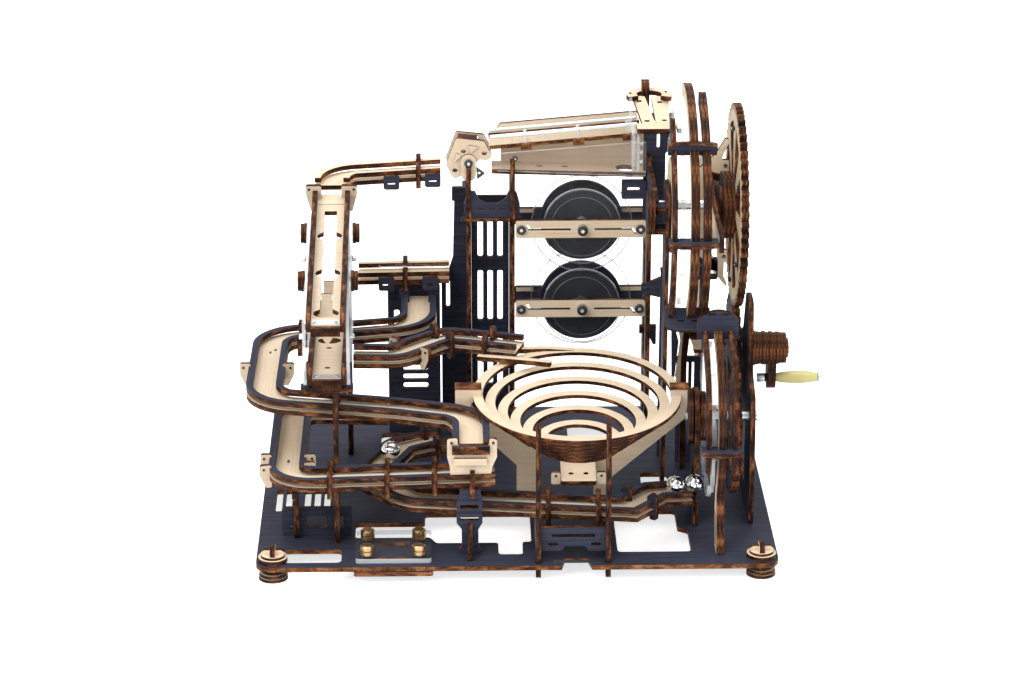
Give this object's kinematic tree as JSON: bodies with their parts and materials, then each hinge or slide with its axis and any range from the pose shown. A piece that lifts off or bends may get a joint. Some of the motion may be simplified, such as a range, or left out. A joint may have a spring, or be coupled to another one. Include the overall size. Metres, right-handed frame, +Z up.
{
  "type": "wooden marble run",
  "caption": "Hand cranked wooden marble run: geared lift wheels raise steel balls to a chute, zigzag tower, tracks and a ring funnel on a footed base plate.",
  "frame": {"origin": "on the floor under the middle of the overall box", "axes": "+X to the crank side, +Y to the back, +Z up from the feet"},
  "size_m": [0.3546, 0.254, 0.2667],
  "materials": {
    "birch": "raw laser cut plywood",
    "navy_stain": "matt stained plywood",
    "burnt_edge": "laser burnt plywood edge",
    "clear_acrylic": "clear polished sheet",
    "polished_steel": "polished",
    "yellow_plastic": "smooth"
  },
  "bodies": {
    "frame": {"base_plate": "navy_stain", "centre_support": "navy_stain", "chute_cover": "clear_acrylic", "chute_rails": "birch", "chute_shelf": "birch", "clear_window": "clear_acrylic", "foot_front_left": "burnt_edge", "foot_front_right": "burnt_edge", "foot_rear_left": "burnt_edge", "foot_rear_right": "burnt_edge", "front_column": "navy_stain", "funnel_chute": "birch", "funnel_feed_track": "birch", "funnel_rings": "birch", "funnel_stand": "birch", "left_support": "navy_stain", "lift_head": "birch", "lift_plate": "navy_stain", "lift_post": "burnt_edge", "lift_side_left": "navy_stain", "lift_side_right": "burnt_edge", "loop_track": "birch", "lower_front_track": "birch", "lower_guide_cage": "burnt_edge", "lower_left_track": "birch", "maze_front_bar_lower": "birch", "maze_front_bar_upper": "birch", "maze_rear_bar_lower": "birch", "maze_rear_bar_upper": "birch", "middle_track": "birch", "name_plate": "clear_acrylic", "rear_left_panel": "navy_stain", "side_panel": "navy_stain", "tower_frame": "burnt_edge", "tower_panel": "navy_stain", "upper_bearing_plate": "navy_stain", "upper_guide_cage": "burnt_edge", "upper_left_track": "birch", "zigzag_lower": "birch", "zigzag_post": "burnt_edge", "zigzag_rib": "burnt_edge", "zigzag_upper": "birch", "zigzag_window_left": "clear_acrylic", "zigzag_window_right": "clear_acrylic"},
    "upper_lift": {"big_gear": "birch", "upper_lift_wheel": "clear_acrylic"},
    "lower_lift": {"lower_gear": "burnt_edge", "lower_lift_wheel": "clear_acrylic"},
    "crank_shaft": {"crank": "burnt_edge"},
    "crank_handle": {"crank_grip": "yellow_plastic"},
    "maze_wheel_upper": {"maze_upper_dark_disc": "navy_stain", "maze_upper_clear_discs": "clear_acrylic"},
    "maze_wheel_lower": {"maze_lower_dark_disc": "navy_stain", "maze_lower_clear_disc": "clear_acrylic", "maze_lower_halo_disc": "clear_acrylic"},
    "switch": {"switch_rocker": "birch"},
    "marble_left": {"ball_left": "polished_steel"},
    "marble_queue_1": {"ball_queue_1": "polished_steel"},
    "marble_queue_2": {"ball_queue_2": "polished_steel"}
  },
  "joints": [
    {"name": "upper_lift_turn", "type": "hinge", "parent": "frame", "child": "upper_lift", "pos_m": [0.1217, 0, 0.1928], "axis": [1, 0, 0], "continuous": true},
    {"name": "lower_lift_turn", "type": "hinge", "parent": "frame", "child": "lower_lift", "pos_m": [0.1217, -0.056, 0.077], "axis": [1, 0, 0], "continuous": true},
    {"name": "crank_turn", "type": "hinge", "parent": "frame", "child": "crank_shaft", "pos_m": [0.1217, -0.0005, 0.0998], "axis": [1, 0, 0], "continuous": true},
    {"name": "handle_turn", "type": "hinge", "parent": "crank_shaft", "child": "crank_handle", "pos_m": [0.1477, -0.0005, 0.0802], "axis": [1, 0, 0], "continuous": true},
    {"name": "maze_upper_turn", "type": "hinge", "parent": "frame", "child": "maze_wheel_upper", "pos_m": [0.0306, 0.075, 0.1574], "axis": [0, 1, 0], "continuous": true},
    {"name": "maze_lower_turn", "type": "hinge", "parent": "frame", "child": "maze_wheel_lower", "pos_m": [0.0306, 0.075, 0.1044], "axis": [0, 1, 0], "continuous": true},
    {"name": "switch_tilt", "type": "hinge", "parent": "frame", "child": "switch", "pos_m": [-0.0408, 0.0755, 0.1999], "axis": [0, 1, 0], "range_deg": [-12, 0]},
    {"name": "marble_left_roll", "type": "slide", "parent": "frame", "child": "marble_left", "axis": [-0.4098, -0.9108, -0.0506], "range_m": [-0.008, 0.012]},
    {"name": "marble_queue_1_roll", "type": "slide", "parent": "frame", "child": "marble_queue_1", "axis": [0.9639, 0.2615, -0.0506], "range_m": [-0.006, 0]},
    {"name": "marble_queue_2_roll", "type": "slide", "parent": "frame", "child": "marble_queue_2", "axis": [0.9642, 0.2603, -0.0506], "range_m": [0, 0.0007]}
  ],
  "couplings": [
    {"joint": "upper_lift_turn", "follows": "crank_turn", "ratio": -0.55},
    {"joint": "lower_lift_turn", "follows": "crank_turn", "ratio": -0.33333}
  ]
}
